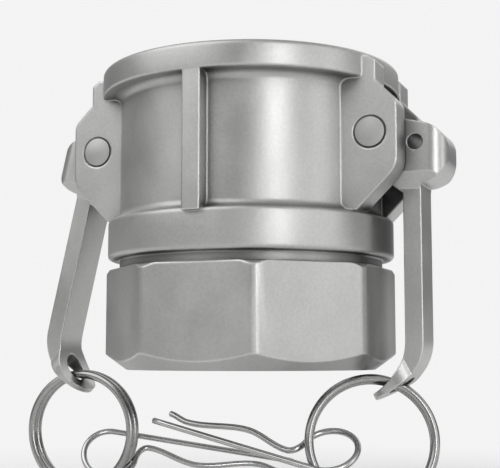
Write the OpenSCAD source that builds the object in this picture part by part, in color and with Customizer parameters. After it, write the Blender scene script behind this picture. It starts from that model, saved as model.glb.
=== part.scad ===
// Two-inch cam and groove coupling: female socket on one end, female pipe thread on the other.
// The origin is the centre of the threaded end's face and +Z points to the socket's mouth.

/* [Body] */
// Length of the body along its axis
body_len = 79; // [72:0.5:95]
// Diameter of the rim at the mouth
rim_d = 80; // [78:0.5:90]
// Height of the rim
rim_h = 6.6; // [4:0.1:9]
// Diameter of the recessed wall between rim and flange
wall_d = 70; // [69:0.2:75]
// Height of the face of the flange over the gasket recess
flange_h = 10.5; // [9:0.1:12]
// Diameter of the flange
flange_d = 76.4; // [75:0.2:84]
// Height of the eight-sided wrench section
wrench_h = 26.2; // [24:0.2:30]
// Distance across the flats of the wrench section
wrench_af = 72; // [70:0.5:78]
// Height of the turned neck between wrench section and flange
neck_h = 2.5; // [1:0.1:4]
// Width of the ribs between the wall panels
rib_w = 4.6; // [3:0.1:8]

/* [Socket and thread] */
// Diameter of the socket
socket_d = 64; // [63.6:0.1:65]
// Outside diameter of the gasket
gasket_d = 66.7; // [66:0.1:67.4]
// Bore of the gasket
gasket_bore = 50.8; // [44:0.2:54]
// Thickness of the gasket
gasket_t = 6.35; // [5:0.05:7]
// Height of the gasket seat above the threaded end
seat_z = 32; // [30:0.5:34]
// Diameter of the waterway between seat and thread
water_d = 50.8; // [44:0.2:54]
// Diameter of the bore that the thread is cut in
thread_d = 56.66; // [54:0.02:58]
// Length of the threaded bore
thread_len = 25; // [18:0.5:26]

/* [Lugs and pivots] */
// Distance of each pivot from the axis of the body
pivot_r = 38; // [37.5:0.1:39.5]
// Height of the pivots above the threaded end
pivot_z = 58.4; // [57:0.2:60]
// Diameter of the pivot pins
pin_d = 7.4; // [5:0.1:8]
// Height of each pin's rounded end over the lug's face
pin_dome = 0.5; // [0.2:0.1:1]
// Width over one pair of lugs
lug_span = 34; // [30:0.5:38]
// Gap between the two lugs of a pair
lug_gap = 17; // [14:0.5:18]
// Reach of the lugs from the axis of the body
lug_r = 44.8; // [44:0.2:47]

/* [Arms] */
// Width of the head of the arm
head_w = 16.4; // [12:0.1:16.8]
// Reach of the cam lobe from the pivot
lobe_reach = 10.2; // [8:0.1:10.6]
// Reach of the rounded heel from the pivot
heel_reach = 17.2; // [16:0.1:18.5]
// Radius of the heel, seen from the side
heel_round = 7.7; // [6.5:0.1:8]
// Diameter of the clip hole through the heel
clip_hole_d = 4; // [2.5:0.1:5]
// Width of the strap
strap_w = 11.5; // [8:0.1:13]
// Thickness of the strap
strap_t = 4.6; // [3:0.1:5.5]
// Distance from the pivot down to the start of the bend
strap_len = 51; // [40:0.5:60]
// Outer radius of the bend
bend_r = 13; // [12:0.5:18]
// Angle of the bend
bend_angle = 62; // [40:1:75]
// Thickness left at the end of the arm
tip_t = 2.4; // [1.8:0.1:3.2]
// Diameter of the rounded end of the arm
eye_d = 15; // [13:0.1:17]
// Diameter of the ring hole in the arm
eye_hole_d = 7.6; // [7.2:0.1:8.4]
// Angle that the left arm stands open
left_open = 13; // [0:1:30]

/* [Rings and clips] */
// Outside diameter of the split rings
ring_d = 33.6; // [30:0.2:38]
// Thickness of the ring's wire
ring_wire = 2.3; // [1.8:0.1:2.5]
// Gap between the two turns of a ring
ring_gap = 0.25; // [0.2:0.05:0.4]
// Tilt of the left ring in the hole of its arm
left_ring_tilt = 40; // [30:1:42]
// Tilt of the right ring in the hole of its arm
right_ring_tilt = 40; // [38:1:42]
// Angle that the right ring is turned sideways, towards the front
right_ring_turn = 20; // [0:1:30]
// Thickness of the clips' wire
clip_wire = 1.6; // [1.2:0.1:1.9]
// Diameter over the clips' eyes
clip_eye_d = 16; // [14:0.2:20]
// Length of a clip from the centre of its eye
clip_len = 48; // [40:0.5:60]
// Angle that a clip's eye is turned across its ring
clip_turn = 44; // [42:1:48]
// Place of the left clip round its ring, from the far side of the ring
left_clip_at = 45; // [30:1:60]
// Place of the right clip round its ring, from the far side of the ring
right_clip_at = 55; // [30:1:60]
// Angle between the left clip's legs and the radius of the ring
left_clip_lean = -34; // [-45:1:0]
// Angle between the right clip's legs and the radius of the ring
right_clip_lean = 38; // [0:1:45]

/* [Hidden] */
$fn = 96;

steel = [0.72, 0.72, 0.71];
bright_steel = [0.82, 0.82, 0.81];
rubber = [0.12, 0.12, 0.12];

// Running clearance of the arm on its pin, on the radius
pin_clear = 0.08;
// Clearance of the gasket in its recess, on the radius and on the height
gasket_clear = 0.3;
// Fillets and chamfers of the casting
edge_round = 1.2;
corner_fillet = 2.2;
mouth_chamfer = 1.4;
// Distance of a ring's wire from the middle of its hole, towards the end of the arm
ring_seat = 1.3;
// Clearance between a clip's eye and the ring in it
clip_clear = 0.4;
// Depth of the corners of the wrench section that are turned off
corner_cut = 0.36;
// Radius and slope of the chamfer at the threaded end
end_face_r = wrench_af / 2 - 3;
end_slope = 36;
neck_r = wrench_af / 2 - 0.9;

flange_z = wrench_h + neck_h;
flange_top = flange_z + flange_h;
rim_z = body_len - rim_h;
recess_r = gasket_d / 2 + gasket_clear;
recess_top = seat_z + gasket_t + 2 * gasket_clear;
corner_r = wrench_af / 2 / cos(22.5) - corner_cut;

// Room that the arm's head needs below and above the pivot
window_low = pivot_z - lobe_reach - 0.9;
window_high = pivot_z + 8.8;
boss_r = wall_d / 2 + 2.2;

// The arm's profile is drawn from its pivot: first value outwards, second value upwards
base_round = 5.8;
lobe_round = 3.5;
lobe_at = [-(lobe_reach - lobe_round), -0.6];
heel_at = [heel_reach - heel_round, -4.2];
clip_hole_at = [heel_at[0] - 0.3, heel_at[1] + 2.6];
strap_out = 10;
strap_in = strap_out - strap_t;
shoulder = -9;
nose_round = 5;
bend_at = [strap_out - bend_r, -strap_len];
// The inner face of the bend is an arc that leaves the end of the arm thinner than the strap
eye_mid = bend_at + (bend_r - tip_t / 2) * [cos(bend_angle), -sin(bend_angle)];
inner_low = bend_at + (bend_r - tip_t) * [cos(bend_angle), -sin(bend_angle)];
inner_dx = strap_in - inner_low[0];
inner_dy = bend_at[1] - inner_low[1];
inner_r = (inner_dx * inner_dx + inner_dy * inner_dy) / (2 * inner_dx);
inner_at = [strap_in - inner_r, bend_at[1]];

ring_mid_r = ring_d / 2 - ring_wire / 2;
ring_rise = ring_wire + ring_gap;
ring_turn = 690;
ring_steps = 114;
ring_start = 20;
clip_mid_r = clip_eye_d / 2 - clip_wire / 2;
hook_r = ring_d / 2 + clip_clear + clip_wire / 2 - clip_mid_r;

// Points of an arc, from angle a0 to angle a1
function arc(c, r, a0, a1, n = 12) =
    [for (i = [0:n]) let (a = a0 + (a1 - a0) * i / n) c + r * [cos(a), sin(a)]];
// Direction, in degrees, of the radius at which a line touches two circles on its left side
function touch(c1, r1, c2, r2) = atan2(c2[1] - c1[1], c2[0] - c1[0]) + acos((r1 - r2) / norm(c2 - c1));
function on_circle(c, r, a) = c + r * [cos(a), sin(a)];
// Smooth step from 0 to 1
function ease(t) = t <= 0 ? 0 : t >= 1 ? 1 : t * t * (3 - 2 * t);

// Solid that follows a list of points with a round section
function unit(v) = v / norm(v);
function way(p, i) = unit(p[min(i + 1, len(p) - 1)] - p[max(i - 1, 0)]);
// The section's first direction stays square to a fixed direction, which no stretch of the wire follows
function side(t, up) = unit(cross(t, up));
module sweep(path, d, up, sides = 10) {
    n = len(path);
    points = [
        for (i = [0:n - 1])
            let (t = way(path, i), a = side(t, up), b = cross(t, a))
                for (k = [0:sides - 1])
                    path[i] + d / 2 * (cos(360 * k / sides) * a + sin(360 * k / sides) * b)
    ];
    faces = concat(
        [[for (k = [0:sides - 1]) k]],
        [for (i = [0:n - 2]) for (k = [0:sides - 1]) let (a = i * sides, next = (k + 1) % sides)
            [a + k, a + sides + k, a + sides + next, a + next]],
        [[for (k = [sides - 1:-1:0]) (n - 1) * sides + k]]
    );
    polyhedron(points = points, faces = faces, convexity = 6);
}

// Outline of the turned outside of the body above the wrench section
module outer_profile() {
    polygon(concat(
        [[0, wrench_h - 0.5], [neck_r, wrench_h - 0.5], [neck_r, flange_z]],
        arc([flange_d / 2 - edge_round, flange_z + edge_round], edge_round, -90, 0, 8),
        arc([flange_d / 2 - edge_round, flange_top - edge_round], edge_round, 0, 90, 8),
        arc([wall_d / 2 + corner_fillet, flange_top + corner_fillet], corner_fillet, 270, 180, 10),
        arc([wall_d / 2 + corner_fillet, rim_z - corner_fillet], corner_fillet, 180, 90, 10),
        arc([rim_d / 2 - edge_round / 2, rim_z + edge_round / 2], edge_round / 2, -90, 0, 6),
        arc([rim_d / 2 - edge_round, body_len - edge_round], edge_round, 0, 90, 10),
        [[0, body_len]]
    ));
}

// Outline of everything that is bored out
module bore_profile() {
    lead = 1.6;
    polygon([
        [0, -1], [thread_d / 2 + lead + 1, -1], [thread_d / 2, lead], [thread_d / 2, thread_len],
        [water_d / 2, thread_len + 1.2], [water_d / 2, seat_z], [recess_r, seat_z], [recess_r, recess_top],
        [socket_d / 2, recess_top + 0.6], [socket_d / 2, body_len - mouth_chamfer],
        [socket_d / 2 + mouth_chamfer + 1, body_len + 1], [0, body_len + 1]
    ]);
}

// Eight-sided section with its corners turned off and a chamfer at the threaded end
module wrench_section() {
    intersection() {
        rotate([0, 0, 22.5])
            cylinder(h = wrench_h, r = wrench_af / 2 / cos(22.5), $fn = 8);
        rotate_extrude()
            polygon([
                [0, 0], [end_face_r, 0], [corner_r, (corner_r - end_face_r) * tan(end_slope)],
                [corner_r, wrench_h - 1], [corner_r - 1, wrench_h], [0, wrench_h]
            ]);
    }
}

// Side outline of a lug, drawn as radius and height
module lug_profile() {
    foot = wall_d / 2 - 0.5;
    low_round = 7;
    top_round = 3.5;
    low_at = [lug_r - low_round, flange_top + (lug_r - low_round - foot) + low_round * sqrt(2)];
    shoulder_r = rim_d / 2 - 0.4;
    shoulder_z = rim_z - 1.2;
    top_at = [lug_r - top_round, shoulder_z - (lug_r - shoulder_r) + top_round * (1 - sqrt(2))];
    polygon(concat(
        [[socket_d / 2 - 2, flange_top], [foot, flange_top]],
        arc(low_at, low_round, -45, 0, 8),
        arc(top_at, top_round, 0, 45, 8),
        [[shoulder_r, shoulder_z], [shoulder_r, body_len - 2.6], [shoulder_r - 2, body_len - edge_round],
            [socket_d / 2 - 2, body_len - edge_round]]
    ));
}

module extrude_y(y0, y1) {
    translate([0, y1, 0])
        rotate([90, 0, 0])
            linear_extrude(height = y1 - y0)
                children();
}

// One pair of lugs on the +X side, with the web that closes the gap under the rim
module lug_pair() {
    extrude_y(-lug_span / 2, -lug_gap / 2)
        lug_profile();
    extrude_y(lug_gap / 2, lug_span / 2)
        lug_profile();
    intersection() {
        cylinder(h = rim_z + 1, r = boss_r);
        translate([socket_d / 2 - 2, -lug_gap / 2 - 1, window_high])
            cube([boss_r, lug_gap + 2, rim_z + 0.5 - window_high]);
    }
}

// Room for the arm's head: a window through the wall and the bores for the pin
module pivot_cuts() {
    translate([socket_d / 2 - 8, -lug_gap / 2, window_low])
        cube([30, lug_gap, window_high - window_low]);
    translate([pivot_r, 0, pivot_z])
        rotate([90, 0, 0])
            cylinder(h = lug_span + 2, d = pin_d, center = true);
    for (s = [-1, 1])
        translate([pivot_r, s * (lug_span / 2 - 0.25), pivot_z])
            rotate([90, 0, 0])
                cylinder(h = 0.52, d = pin_d + 1, center = true);
}

module both_sides() {
    children();
    rotate([0, 0, 180])
        children();
}

module coupler_body() {
    color(steel)
        difference() {
            union() {
                rotate_extrude()
                    outer_profile();
                wrench_section();
                both_sides()
                    lug_pair();
                intersection() {
                    cylinder(h = rim_z + 1, r = rim_d / 2 - 0.5);
                    translate([-rib_w / 2, -rim_d / 2, flange_top - 1])
                        cube([rib_w, rim_d, rim_z + 2 - flange_top]);
                }
            }
            rotate_extrude()
                bore_profile();
            both_sides()
                pivot_cuts();
        }
}

module gasket() {
    round = 0.5;
    color(rubber)
        translate([0, 0, seat_z])
            rotate_extrude()
                polygon(concat(
                    [[gasket_bore / 2, 0], [gasket_d / 2, 0]],
                    arc([gasket_d / 2 - round, gasket_t - round], round, 0, 90, 4),
                    arc([gasket_bore / 2 + round, gasket_t - round], round, 90, 180, 4)
                ));
}

// Pin with a low rounded end on each side, lying along Y at the origin
module pivot_pin() {
    half = lug_span / 2;
    r = pin_d / 2;
    dome_r = (r * r + pin_dome * pin_dome) / (2 * pin_dome);
    dome_angle = asin(r / dome_r);
    color(bright_steel)
        rotate([90, 0, 0])
            rotate_extrude()
                polygon(concat(
                    arc([0, half + pin_dome - dome_r], dome_r, 90 - dome_angle, 90, 6),
                    arc([0, dome_r - half - pin_dome], dome_r, -90, dome_angle - 90, 6)
                ));
}

// Side outline of the arm: lobe, top of the hub, heel, strap and bent end, then back along the inside
module arm_profile() {
    above_lobe = touch(lobe_at, lobe_round, [0, 0], base_round);
    above_base = touch([0, 0], base_round, heel_at, heel_round);
    below_lobe = -touch([lobe_at[0], -lobe_at[1]], lobe_round, [strap_in, 14], 0.01);
    under_heel = -acos((strap_out - heel_at[0]) / heel_round);
    past_bend = eye_d * [sin(bend_angle), cos(bend_angle)];
    end = bend_at + bend_r * [cos(bend_angle), -sin(bend_angle)] - past_bend;
    inner_end = bend_angle + 18;
    polygon(concat(
        arc(lobe_at, lobe_round, 360 + below_lobe, above_lobe, 20),
        arc([0, 0], base_round, above_lobe, above_base, 8),
        arc(heel_at, heel_round, above_base, under_heel, 28),
        arc(bend_at, bend_r, 0, -bend_angle, 18),
        [end],
        arc(inner_at, inner_r, -inner_end, 0, 22),
        [[strap_in, -14]]
    ));
}

// Arm seen from outside: head, shoulders, strap and, square to the bent end, the rounded eye
module front_outline() {
    low = -strap_len - 30;
    intersection() {
        rotate([90, 0, 90])
            linear_extrude(height = 80, center = true)
                polygon([
                    [-head_w / 2, 30], [-head_w / 2, shoulder], [-strap_w / 2, shoulder - 4],
                    [-strap_w / 2, low], [strap_w / 2, low], [strap_w / 2, shoulder - 4],
                    [head_w / 2, shoulder], [head_w / 2, 30]
                ]);
        at_end_of_arm()
            translate([-100, -50, 0])
                cube([200, 100, 200]);
    }
    at_end_of_arm()
        rotate([0, 90, 0])
            cylinder(h = 12, d = eye_d, center = true);
}

// Arm seen from above: straight sides and a rounded nose
module nose_outline() {
    reach = heel_reach - nose_round;
    translate([0, 0, -strap_len - 40])
        linear_extrude(height = strap_len + 80)
            union() {
                translate([-40, -head_w / 2])
                    square([40 + reach, head_w]);
                translate([0, -head_w / 2 + nose_round])
                    square([heel_reach, head_w - 2 * nose_round]);
                for (s = [-1, 1])
                    translate([reach, s * (head_w / 2 - nose_round)])
                        circle(r = nose_round);
            }
}

// Places its children at the middle of the ring hole, with the hole along X and the strap above
module at_end_of_arm() {
    translate([eye_mid[0], 0, eye_mid[1]])
        rotate([0, bend_angle, 0])
            children();
}

// Arm for the +X side, drawn from its pivot
module arm() {
    difference() {
        intersection() {
            extrude_y(-head_w, head_w)
                arm_profile();
            front_outline();
            nose_outline();
        }
        rotate([90, 0, 0])
            cylinder(h = head_w + 4, r = pin_d / 2 + pin_clear, center = true);
        translate([clip_hole_at[0], 0, clip_hole_at[1]])
            rotate([90, 0, 0])
                cylinder(h = head_w + 4, d = clip_hole_d, center = true);
        at_end_of_arm()
            rotate([0, 90, 0])
                cylinder(h = 20, d = eye_hole_d, center = true);
    }
}

module at_right() {
    translate([pivot_r, 0, pivot_z])
        children();
}

// The left side is the right side turned half round the body, with its arm swung open
module at_left() {
    rotate([0, 0, 180])
        translate([pivot_r, 0, pivot_z])
            rotate([0, -left_open, 0])
                children();
}

// Frame at the ring hole: the hole runs along Z and the arm's end points along X
module at_eye() {
    translate([eye_mid[0], 0, eye_mid[1]])
        rotate([0, 90 + bend_angle, 0])
            children();
}

// Split ring: two turns of wire side by side, which step across each other at one place.
// The wire passes through the origin along Z and the centre of the ring lies on +X.
module split_ring() {
    path = [
        for (i = [0:ring_steps])
            let (a = ring_turn * i / ring_steps, across = ring_rise * (ease((a - 325) / 50) - 0.5))
                [ring_mid_r * cos(a + ring_start), across, ring_mid_r * sin(a + ring_start)]
    ];
    translate([ring_mid_r, 0, 0])
        sweep(path, ring_wire, [0, 1, 0]);
}

// Puts a ring in the hole of its arm, turned sideways about the hole and tilted in it
module ring_in_eye(turn, tilt) {
    at_eye()
        rotate([0, 0, turn])
            translate([ring_seat, 0, 0])
                rotate([0, tilt, 0])
                    children();
}

// Wire clip in the XZ plane: an open eye round the origin, a straight leg and a waved leg along X
module wire_clip() {
    r = clip_mid_r;
    // Turning points of the waved leg: near the straight leg, away from it and near it again
    near_1 = [r * 1.43, r * 0.54];
    away = [clip_len * 0.5, r * 0.14];
    near_2 = [clip_len * 0.86, r * 0.61];
    tip = [clip_len, r * 0.44];
    straight = [for (i = [7:-1:1]) [clip_len * 1.06 * i / 7, 0, r]];
    eye = [for (i = [0:32]) r * [cos(90 + 260 * i / 32), 0, sin(90 + 260 * i / 32)]];
    end = eye[32];
    neck = [for (i = [1:6]) let (a = 15 * i)
        [end[0] + (near_1[0] - end[0]) * (1 - cos(a)), 0, end[2] + (near_1[1] - end[2]) * sin(a)]];
    waves = concat(wave(near_1, away), wave(away, near_2), wave(near_2, tip));
    sweep(concat(straight, eye, neck, waves), clip_wire, [0, 1, 0], 8);
}

// Half a wave between two turning points
function wave(p, q, n = 8) =
    [for (i = [1:n]) [p[0] + (q[0] - p[0]) * i / n, 0, p[1] + (q[1] - p[1]) * ease(i / n)]];

// Hangs a clip by its eye on a ring: around the ring, then turned about the ring's radius so that
// the eye's wire passes before the ring on one side and behind it on the other
module clip_on_ring(around, turn, lean) {
    translate([ring_mid_r, 0, 0])
        rotate([0, around, 0])
            translate([hook_r, 0, 0])
                rotate([turn, 0, 0])
                    rotate([0, lean, 0])
                        wire_clip();
}

module pivot_pin_right() {
    at_right()
        pivot_pin();
}

module pivot_pin_left() {
    rotate([0, 0, 180])
        at_right()
            pivot_pin();
}

module cam_arm_right() {
    color(steel)
        at_right()
            arm();
}

module cam_arm_left() {
    color(steel)
        at_left()
            arm();
}

module pull_ring_right() {
    color(bright_steel)
        at_right()
            ring_in_eye(-right_ring_turn, -right_ring_tilt)
                split_ring();
}

module pull_ring_left() {
    color(bright_steel)
        at_left()
            ring_in_eye(0, -left_ring_tilt)
                split_ring();
}

module safety_clip_right() {
    color(bright_steel)
        at_right()
            ring_in_eye(-right_ring_turn, -right_ring_tilt)
                clip_on_ring(right_clip_at, clip_turn, right_clip_lean);
}

module safety_clip_left() {
    color(bright_steel)
        at_left()
            ring_in_eye(0, -left_ring_tilt)
                clip_on_ring(left_clip_at, 180 - clip_turn, left_clip_lean);
}

coupler_body();
gasket();
pivot_pin_right();
pivot_pin_left();
cam_arm_right();
cam_arm_left();
pull_ring_right();
pull_ring_left();
safety_clip_right();
safety_clip_left();
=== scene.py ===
"""Cam and groove coupling in soft studio light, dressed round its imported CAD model."""

import math

import bmesh
import bpy
from mathutils import Matrix, Vector


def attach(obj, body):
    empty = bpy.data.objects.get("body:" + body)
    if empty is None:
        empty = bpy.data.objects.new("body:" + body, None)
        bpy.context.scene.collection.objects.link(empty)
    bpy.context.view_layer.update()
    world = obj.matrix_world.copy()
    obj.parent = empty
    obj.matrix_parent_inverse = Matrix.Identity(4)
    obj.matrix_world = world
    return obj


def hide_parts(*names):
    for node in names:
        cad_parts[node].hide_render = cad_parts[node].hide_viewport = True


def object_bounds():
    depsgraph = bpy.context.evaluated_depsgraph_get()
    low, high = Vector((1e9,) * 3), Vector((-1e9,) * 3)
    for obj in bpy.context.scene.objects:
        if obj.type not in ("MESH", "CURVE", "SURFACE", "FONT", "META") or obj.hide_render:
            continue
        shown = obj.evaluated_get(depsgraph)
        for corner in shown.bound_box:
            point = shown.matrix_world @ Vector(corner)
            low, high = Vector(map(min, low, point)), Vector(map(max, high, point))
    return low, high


MM = 0.001

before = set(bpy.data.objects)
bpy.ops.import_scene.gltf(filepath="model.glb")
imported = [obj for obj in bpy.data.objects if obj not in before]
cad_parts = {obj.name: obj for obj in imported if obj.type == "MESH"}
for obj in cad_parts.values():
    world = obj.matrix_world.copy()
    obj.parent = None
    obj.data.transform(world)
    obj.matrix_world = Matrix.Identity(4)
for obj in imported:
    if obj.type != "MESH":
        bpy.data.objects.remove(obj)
cad_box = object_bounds()

# Sizes and angles of the loose wire pieces, in millimetres and degrees, as in the CAD source
PIVOT = Vector((38, 0, 58.4))
LEFT_OPEN = 13
EYE_MID = Vector((2.54, 0, -61.42))
BEND_ANGLE = 62
RING_D = 33.6
RING_WIRE = 2.3
RING_GAP = 0.25
RING_SEAT = 1.3
RING_TURN = {"right": -20, "left": 0}
RING_TILT = 40
CLIP_WIRE = 1.6
CLIP_EYE_D = 16
CLIP_LEN = 48
CLIP_GAP = 0.4
CLIP_TURN = {"right": 44, "left": 180 - 44}
CLIP_AT = {"right": 55, "left": 45}
CLIP_LEAN = {"right": 38, "left": -34}

RING_R = (RING_D - RING_WIRE) / 2
CLIP_R = (CLIP_EYE_D - CLIP_WIRE) / 2
HOOK_R = RING_D / 2 + CLIP_GAP + CLIP_WIRE / 2 - CLIP_R

# A ring's wire, in degrees: where it starts, how far it runs, and where it steps across
RING_START = 20
RING_SWEEP = 690
STEP_FROM = 325
STEP_LENGTH = 50
RING_POINTS = 276

# A clip's waved leg, as points (x, z) from its eye's middle, and its straight leg's length
CLIP_NECK = (CLIP_R * 1.43, CLIP_R * 0.54)
CLIP_DIP = (CLIP_LEN * 0.5, CLIP_R * 0.14)
CLIP_CREST = (CLIP_LEN * 0.86, CLIP_R * 0.61)
CLIP_TIP = (CLIP_LEN, CLIP_R * 0.44)
CLIP_STRAIGHT = CLIP_LEN * 1.06
CLIP_EYE_SWEEP = 260
LEG_POINTS = 14
EYE_POINTS = 64
NECK_POINTS = 12

# Rounding of a wire's ends, as a share of its diameter
WIRE_END = 0.12

# Castings: how near points are merged, how flat faces are merged, and which edges are sharp
MERGE_WITHIN = 0.002 * MM
FLAT_ANGLE = math.radians(0.6)
SHARP_ANGLE = math.radians(24)

# Pipe thread in the lower end, in millimetres, with its crest's width as a share of its pitch
THREAD_D = 56.66
THREAD_DEPTH = 0.9
THREAD_SUNK = 0.2
THREAD_PITCH = 2.209
THREAD_CREST = 0.14
THREAD_FROM = 2.9
THREAD_TO = 22.4
THREAD_STEPS = 72

# Scales of the noises in the materials
CLOUDS = 60
GRIT = 1400
PORES = 4200
DRAWN_LINES = 1800
STAINS = 160
BLOOM = 200
RUBBER_GRAIN = 1500
PAPER_GRAIN = 300

# The levels between which most of a noise lies
MIDDLE = (0.3, 0.7)

# Depths of the relief in the materials, in metres
GRIT_DEPTH = 0.0001
PORE_DEPTH = 0.00004
LINE_DEPTH = 0.0001
RUBBER_DEPTH = 0.0002

# Cast steel: how far the shade painted into a hollow reaches and how dark it is, how much lighter
# edges are painted as a highlight, and how much smoother rubbed edges are
HOLLOW_REACH = 0.009
HOLLOW_SHADE = 0.26
PAINTED_EDGE_HIGHLIGHT = 0.17
WORN_SMOOTHER = 0.1

# How much blue is left in the grey of cast and of bright steel
CAST_BLUE = 0.985
BRIGHT_BLUE = 0.99

# Floor: its level just under the object, its size and where it fades into the background
FLOOR_Z = cad_box[0].z - 0.0005
FLOOR_SIZE = 3
FLOOR_FADE = (0.09, 0.22)
WHITE = 0.9

# Sky for light and reflections: its strength, and its levels overhead and below
SKY_STRENGTH = 0.6
SKY_TOP = 1.0
SKY_LOW = 0.3

# Softboxes: place in metres, width and height in metres, power in watts
LIGHT_TARGET = Vector((0, 0, 0.035))
LIGHTS = (
    ("key_light", (-0.35, -0.45, 0.55), (0.9, 0.8), 3.2),
    ("side_light", (0.65, -0.1, 0.2), (0.25, 0.5), 0.6),
    ("strip_light", (0.4, -0.44, 0.1), (0.13, 0.5), 1.1),
    ("back_light", (0.1, 0.6, 0.5), (0.9, 0.5), 1.0),
)

# Camera at the photograph's angle: near the height of the pipe's end, tipped up a little
CAMERA_TURN = 21.6
CAMERA_AWAY = 0.2994
CAMERA_Z = 0.0035
CAMERA_PITCH = 6.25
CAMERA_YAW = 0.05
CAMERA_LENS = 80.35


def turn(angle, axis):
    return Matrix.Rotation(math.radians(angle), 4, axis)


def outward(x):
    return Matrix.Translation((x, 0, 0))


def arm_place(side):
    """The frame at an arm's pivot, in millimetres."""
    if side == "right":
        return Matrix.Translation(PIVOT)
    return turn(180, "Z") @ Matrix.Translation(PIVOT) @ turn(-LEFT_OPEN, "Y")


def ring_place(side):
    """The frame of a ring's wire in the hole of its arm."""
    hole = arm_place(side) @ Matrix.Translation(EYE_MID) @ turn(90 + BEND_ANGLE, "Y")
    return hole @ turn(RING_TURN[side], "Z") @ outward(RING_SEAT) @ turn(-RING_TILT, "Y")


def clip_place(side):
    """The frame of a clip that hangs by its eye on the ring."""
    hook = outward(RING_R) @ turn(CLIP_AT[side], "Y") @ outward(HOOK_R)
    return ring_place(side) @ hook @ turn(CLIP_TURN[side], "X") @ turn(CLIP_LEAN[side], "Y")


def ease(t):
    t = min(max(t, 0), 1)
    return t * t * (3 - 2 * t)


def ring_path():
    """Two turns of wire side by side, which step across each other at one place."""
    points = []
    for i in range(RING_POINTS + 1):
        angle = RING_SWEEP * i / RING_POINTS
        across = (RING_WIRE + RING_GAP) * (ease((angle - STEP_FROM) / STEP_LENGTH) - 0.5)
        a = math.radians(angle + RING_START)
        points.append(Vector((RING_R + RING_R * math.cos(a), across, RING_R * math.sin(a))))
    return points


def wave(p, q):
    """Half a wave between two turning points."""
    n = LEG_POINTS
    return [
        (p[0] + (q[0] - p[0]) * i / n, p[1] + (q[1] - p[1]) * ease(i / n))
        for i in range(1, n + 1)
    ]


def clip_path():
    """A straight leg, an open eye round the origin and a waved leg."""
    flat = [(CLIP_STRAIGHT * i / LEG_POINTS, CLIP_R) for i in range(LEG_POINTS, 0, -1)]
    for i in range(EYE_POINTS + 1):
        a = math.radians(90 + CLIP_EYE_SWEEP * i / EYE_POINTS)
        flat.append((CLIP_R * math.cos(a), CLIP_R * math.sin(a)))
    x, z = flat[-1]
    for i in range(1, NECK_POINTS + 1):
        a = math.radians(90 * i / NECK_POINTS)
        out = (CLIP_NECK[0] - x) * (1 - math.cos(a))
        flat.append((x + out, z + (CLIP_NECK[1] - z) * math.sin(a)))
    flat += wave(CLIP_NECK, CLIP_DIP) + wave(CLIP_DIP, CLIP_CREST) + wave(CLIP_CREST, CLIP_TIP)
    return [Vector((x, 0, z)) for x, z in flat]


def skin(mesh, loops):
    """Faces between loops of points that follow each other, closed at both ends."""
    for one, two in zip(loops, loops[1:]):
        for k in range(len(one)):
            after = (k + 1) % len(one)
            mesh.faces.new((one[k], one[after], two[after], two[k]))
    mesh.faces.new(loops[0][::-1])
    mesh.faces.new(loops[-1])
    bmesh.ops.recalc_face_normals(mesh, faces=mesh.faces)


def made_piece(mesh, name):
    """A new object of the scene, made from a mesh that is finished."""
    data = bpy.data.meshes.new(name)
    mesh.to_mesh(data)
    mesh.free()
    piece = bpy.data.objects.new(name, data)
    bpy.context.collection.objects.link(piece)
    return piece


def wire(name, path, diameter, place, sides):
    """A round wire along a path of points in millimetres, with rounded ends."""
    up, last = Vector((0, 1, 0)), len(path) - 1
    radius, inset = diameter / 2, diameter * WIRE_END
    rings = []
    for i, p in enumerate(path):
        along = (path[min(i + 1, last)] - path[max(i - 1, 0)]).normalized()
        a = along.cross(up).normalized()
        rings.append((p, along, a, along.cross(a), radius))
    first, end = rings[0], rings[-1]
    rings = [
        (*first[:4], radius - inset),
        (first[0] + first[1] * inset, *first[1:]),
        *rings[1:-1],
        (end[0] - end[1] * inset, *end[1:]),
        (*end[:4], radius - inset),
    ]
    mesh = bmesh.new()
    loops = []
    for p, _, a, b, r in rings:
        loop = []
        for k in range(sides):
            t = 2 * math.pi * k / sides
            point = place @ (p + r * (math.cos(t) * a + math.sin(t) * b))
            loop.append(mesh.verts.new(point * MM))
        loops.append(loop)
    skin(mesh, loops)
    for f in mesh.faces:
        f.smooth = len(f.verts) == 4
    return made_piece(mesh, name)


def dressed(node, name, edge):
    """A copy of a CAD node, with flat faces merged, curves shaded smooth and edges rounded."""
    mesh = bmesh.new()
    mesh.from_mesh(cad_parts[node].data)
    bmesh.ops.remove_doubles(mesh, verts=mesh.verts, dist=MERGE_WITHIN)
    bmesh.ops.dissolve_limit(mesh, angle_limit=FLAT_ANGLE, verts=mesh.verts, edges=mesh.edges)
    clean = bmesh.new()
    copies = [clean.verts.new(v.co) for v in mesh.verts]
    mesh.verts.index_update()
    for f in mesh.faces:
        clean.faces.new([copies[v.index] for v in f.verts]).smooth = True
    mesh.free()
    bmesh.ops.recalc_face_normals(clean, faces=clean.faces)
    piece = made_piece(clean, name)
    rounding = piece.modifiers.new("rounding", "BEVEL")
    rounding.width = edge
    rounding.segments = 2
    rounding.limit_method = "ANGLE"
    rounding.angle_limit = SHARP_ANGLE
    rounding.harden_normals = True
    rounding.miter_outer = "MITER_ARC"
    return piece


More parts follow.
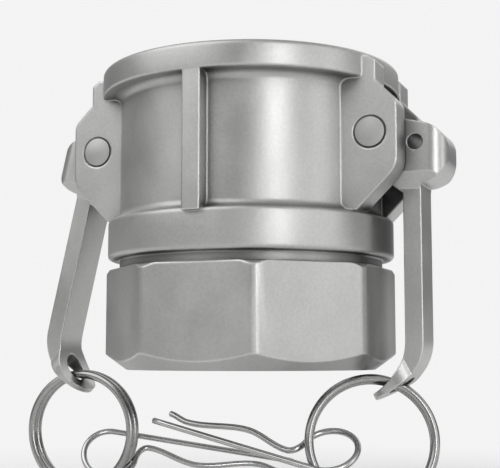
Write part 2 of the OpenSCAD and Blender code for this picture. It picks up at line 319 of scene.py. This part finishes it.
def thread_turns(name):
    """Turns of a pipe thread inside the threaded end, as one ridge that winds up the bore."""
    root = (THREAD_D / 2 + THREAD_SUNK) * MM
    crest = (THREAD_D / 2 - THREAD_DEPTH) * MM
    half = THREAD_PITCH / 2 * MM
    flat = half * THREAD_CREST
    count = int((THREAD_TO - THREAD_FROM) / THREAD_PITCH * THREAD_STEPS)
    mesh = bmesh.new()
    rows = []
    for i in range(count + 1):
        a = 2 * math.pi * i / THREAD_STEPS
        z = (THREAD_FROM + THREAD_PITCH * i / THREAD_STEPS) * MM
        top = root + (crest - root) * ease(min(i, count - i) / (THREAD_STEPS * 0.5))
        row = []
        for r, rise in ((root, -half), (top, -flat), (top, flat), (root, half)):
            row.append(mesh.verts.new((r * math.cos(a), r * math.sin(a), z + rise)))
        rows.append(row)
    skin(mesh, rows)
    for f in mesh.faces:
        f.smooth = True
    for e in mesh.edges:
        e.smooth = len(e.link_faces) == 2 and e.calc_face_angle(0) < SHARP_ANGLE
    piece = made_piece(mesh, name)
    set_material(piece, MACHINED)
    return piece


class Nodes:
    """Short way to build a node tree."""

    def __init__(self, tree):
        self.tree = tree
        tree.nodes.clear()

    def add(self, kind, inputs=(), **settings):
        node = self.tree.nodes.new(kind)
        for key, value in settings.items():
            setattr(node, key, value)
        for key, value in dict(inputs).items():
            if isinstance(value, bpy.types.NodeSocket):
                self.tree.links.new(value, node.inputs[key])
            else:
                node.inputs[key].default_value = value
        return node

    def coords(self):
        return self.add("ShaderNodeTexCoord").outputs["Object"]

    def math(self, operation, a, b=0.0, clamp=False):
        inputs = {0: a, 1: b}
        return self.add("ShaderNodeMath", inputs, operation=operation, use_clamp=clamp).outputs[0]

    def noise(self, coords, scale, detail=3.0, rough=0.5):
        inputs = {"Vector": coords, "Scale": scale, "Detail": detail, "Roughness": rough}
        return self.add("ShaderNodeTexNoise", inputs).outputs["Fac"]

    def step(self, value, low, high, out_low=0.0, out_high=1.0):
        """The value run through a smooth step between two levels."""
        inputs = {"Value": value, "From Min": low, "From Max": high}
        inputs |= {"To Min": out_low, "To Max": out_high}
        node = self.add("ShaderNodeMapRange", inputs, interpolation_type="SMOOTHSTEP")
        return node.outputs["Result"]

    def grey(self, value, blue=None):
        """A grey, with only a share of its blue where one is given."""
        low = value if blue is None else self.math("MULTIPLY", value, blue)
        return self.add("ShaderNodeCombineColor", {0: value, 1: value, 2: low}).outputs[0]

    def bump(self, height, strength, depth, **normal):
        inputs = {"Height": height, "Strength": strength, "Distance": depth, **normal}
        return self.add("ShaderNodeBump", inputs).outputs[0]

    def finish(self, shader, kind="ShaderNodeOutputMaterial"):
        self.tree.links.new(shader.outputs[0], self.add(kind).inputs["Surface"])

    def finish_surface(self, colour, gloss, normal, **settings):
        """The output, with a principled shader of one colour before it."""
        inputs = {"Base Color": colour, "Roughness": gloss, "Normal": normal, **settings}
        self.finish(self.add("ShaderNodeBsdfPrincipled", inputs))


def material(name):
    made = bpy.data.materials.new(name)
    made.use_nodes = True
    return made, Nodes(made.node_tree)


def cast_steel(name, tone, rough, grain, bevel):
    """Blasted and pickled stainless casting: fine grain, faint clouds, shade painted into hollows,
    and edges painted lighter as a highlight and rubbed smoother.
    """
    made, n = material(name)
    coords = n.coords()
    clouds = n.noise(coords, CLOUDS, 4)
    grit = n.noise(coords, GRIT, 6, 0.65)
    pores = n.noise(coords, PORES, 2)
    flat = n.add("ShaderNodeNewGeometry").outputs["Normal"]
    soft = n.add("ShaderNodeBevel", {"Radius": bevel}, samples=6).outputs[0]
    same = n.add("ShaderNodeVectorMath", {0: flat, 1: soft}, operation="DOT_PRODUCT")
    # Painted highlight: this edge mask makes the colour lighter along rounded edges, and it also
    # makes them smoother
    edge_highlight_and_polish = n.step(same.outputs["Value"], 0.999, 0.94)
    # Painted shade: the colour is darkened where the surface lies in a hollow or crease, where
    # shade falls
    open_air = n.add("ShaderNodeAmbientOcclusion", {"Distance": HOLLOW_REACH}, samples=8)
    painted_hollow_shade = n.step(open_air.outputs["AO"], 0.3, 0.9, HOLLOW_SHADE, 1.0)
    shade = n.math("MULTIPLY", n.step(clouds, *MIDDLE, tone * 0.94, tone * 1.05), painted_hollow_shade)
    speck = n.step(grit, 0.25, 0.75, 0.93, 1.05)
    colour = n.math("MULTIPLY", shade, speck)
    # Painted highlight added to the colour along the edges
    colour = n.math("ADD", colour, n.math("MULTIPLY", edge_highlight_and_polish, PAINTED_EDGE_HIGHLIGHT))
    gloss = n.step(clouds, *MIDDLE, rough - 0.03, rough + 0.05)
    gloss = n.math("SUBTRACT", gloss, n.math("MULTIPLY", edge_highlight_and_polish, WORN_SMOOTHER))
    relief = n.bump(grit, grain, GRIT_DEPTH, Normal=soft)
    relief = n.bump(pores, grain, PORE_DEPTH, Normal=relief)
    n.finish_surface(n.grey(colour, CAST_BLUE), gloss, relief, Metallic=1.0)
    return made


def bright_steel(name, tone, rough, scratch):
    """Drawn and turned stainless: smooth, with faint fine lines."""
    made, n = material(name)
    coords = n.coords()
    lines = n.noise(coords, DRAWN_LINES, 3, 0.6)
    stains = n.noise(coords, STAINS, 3)
    colour = n.step(stains, *MIDDLE, tone * 0.93, tone * 1.04)
    gloss = n.step(stains, *MIDDLE, rough - 0.03, rough + 0.06)
    relief = n.bump(lines, scratch, LINE_DEPTH)
    n.finish_surface(n.grey(colour, BRIGHT_BLUE), gloss, relief, Metallic=1.0)
    return made


def rubber(name):
    """Matt black rubber with a faint bloom."""
    made, n = material(name)
    coords = n.coords()
    bloom = n.noise(coords, BLOOM, 4)
    fine = n.noise(coords, RUBBER_GRAIN, 2)
    colour = n.step(bloom, 0.3, 0.75, 0.016, 0.035)
    gloss = n.step(bloom, *MIDDLE, 0.55, 0.7)
    n.finish_surface(n.grey(colour), gloss, n.bump(fine, 0.2, RUBBER_DEPTH))
    return made


def floor_paper(name):
    """White paper that fades into the background away from the object, and keeps its shadow."""
    made, n = material(name)
    coords = n.coords()
    away = n.add("ShaderNodeVectorMath", {0: coords}, operation="LENGTH").outputs["Value"]
    far = n.step(away, *FLOOR_FADE)
    rays = n.add("ShaderNodeLightPath").outputs
    seen = n.math("ADD", rays["Is Camera Ray"], rays["Is Glossy Ray"], clamp=True)
    grain = n.step(n.noise(coords, PAPER_GRAIN, 3), *MIDDLE, 0.93, 0.95)
    lit = n.add("ShaderNodeBsdfDiffuse", {"Color": n.grey(grain)})
    glow = n.add("ShaderNodeEmission", {"Color": (WHITE, WHITE, WHITE, 1), "Strength": 1.0})
    fade = n.math("MULTIPLY", far, seen)
    n.finish(n.add("ShaderNodeMixShader", {0: fade, 1: lit.outputs[0], 2: glow.outputs[0]}))
    return made


def set_material(piece, made):
    """Gives a piece, or each slot of a CAD node, one material."""
    for s in piece.material_slots:
        s.material = made
    if not piece.material_slots:
        piece.data.materials.append(made)


def floor_piece():
    mesh = bmesh.new()
    bmesh.ops.create_grid(mesh, x_segments=8, y_segments=8, size=FLOOR_SIZE)
    piece = made_piece(mesh, "floor")
    piece.location = (0, 0, FLOOR_Z)
    return piece


def studio_world():
    """White for the camera, and a plain soft sky, brighter overhead, for light and reflections."""
    world = bpy.data.worlds.new("studio")
    world.use_nodes = True
    bpy.context.scene.world = world
    n = Nodes(world.node_tree)
    sky = n.add("ShaderNodeTexCoord").outputs["Generated"]
    height = n.add("ShaderNodeSeparateXYZ", {0: sky}).outputs["Z"]
    seen = n.add("ShaderNodeLightPath").outputs["Is Camera Ray"]
    level = n.grey(n.step(height, -0.3, 0.9, SKY_LOW, SKY_TOP))
    around = n.add("ShaderNodeBackground", {"Color": level, "Strength": SKY_STRENGTH})
    back = n.add("ShaderNodeBackground", {"Color": (WHITE, WHITE, WHITE, 1), "Strength": 1.0})
    mixed = n.add("ShaderNodeMixShader", {0: seen, 1: around.outputs[0], 2: back.outputs[0]})
    n.finish(mixed, "ShaderNodeOutputWorld")


def softbox(name, place, size, power):
    """A soft rectangular light that faces the object."""
    lamp = bpy.data.lights.new(name, "AREA")
    lamp.shape = "RECTANGLE"
    lamp.size, lamp.size_y = size
    lamp.energy = power
    made = bpy.data.objects.new(name, lamp)
    bpy.context.collection.objects.link(made)
    made.location = place
    made.rotation_mode = "QUATERNION"
    made.rotation_quaternion = (LIGHT_TARGET - Vector(place)).to_track_quat("-Z", "Y")


CASTING = cast_steel("casting", tone=0.46, rough=0.4, grain=0.3, bevel=0.0008)
ARM_STEEL = cast_steel("arm_casting", tone=0.47, rough=0.36, grain=0.25, bevel=0.0006)
PIN_STEEL = bright_steel("pin_steel", tone=0.43, rough=0.5, scratch=0.1)
RING_STEEL = bright_steel("ring_steel", tone=0.36, rough=0.24, scratch=0.06)
CLIP_STEEL = bright_steel("clip_steel", tone=0.5, rough=0.22, scratch=0.06)
MACHINED = bright_steel("machined_steel", tone=0.5, rough=0.28, scratch=0.12)
RUBBER = rubber("gasket_rubber")

# CAD nodes that only take a better material
CAD_FINISH = {"pivot_pin_right": PIN_STEEL, "pivot_pin_left": PIN_STEEL, "gasket": RUBBER}
for node, finish in CAD_FINISH.items():
    set_material(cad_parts[node], finish)

# Castings: CAD node, name, body it rides on, material and width of the rounded edges
CASTINGS = (
    ("coupler_body", "body_casting", "coupler", CASTING, 0.5 * MM),
    ("cam_arm_right", "arm_casting_right", "arm_right", ARM_STEEL, 0.6 * MM),
    ("cam_arm_left", "arm_casting_left", "arm_left", ARM_STEEL, 0.6 * MM),
)
for node, name, body, finish, edge in CASTINGS:
    casting = dressed(node, name, edge)
    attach(casting, body)
    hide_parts(node)
    set_material(casting, finish)

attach(thread_turns("pipe_thread_turns"), "coupler")

for side in ("right", "left"):
    ring = wire(f"ring_wire_{side}", ring_path(), RING_WIRE, ring_place(side), sides=20)
    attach(ring, f"ring_{side}")
    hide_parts(f"pull_ring_{side}")
    clip = wire(f"clip_wire_{side}", clip_path(), CLIP_WIRE, clip_place(side), sides=16)
    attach(clip, f"clip_{side}")
    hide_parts(f"safety_clip_{side}")
    for piece, finish in ((ring, RING_STEEL), (clip, CLIP_STEEL)):
        set_material(piece, finish)

floor = floor_piece()
set_material(floor, floor_paper("floor_paper"))

studio_world()
for light in LIGHTS:
    softbox(*light)

camera_data = bpy.data.cameras.new("camera")
camera_data.lens = CAMERA_LENS
camera_data.sensor_width = 36
camera_data.clip_start = 0.01
camera_data.clip_end = 20
camera = bpy.data.objects.new("camera", camera_data)
bpy.context.collection.objects.link(camera)
around = math.radians(CAMERA_TURN)
camera.location = (CAMERA_AWAY * math.sin(around), -CAMERA_AWAY * math.cos(around), CAMERA_Z)
camera.rotation_euler = (math.radians(90 + CAMERA_PITCH), 0, around + math.radians(CAMERA_YAW))
bpy.context.scene.camera = camera

bpy.context.scene.view_settings.view_transform = "Standard"
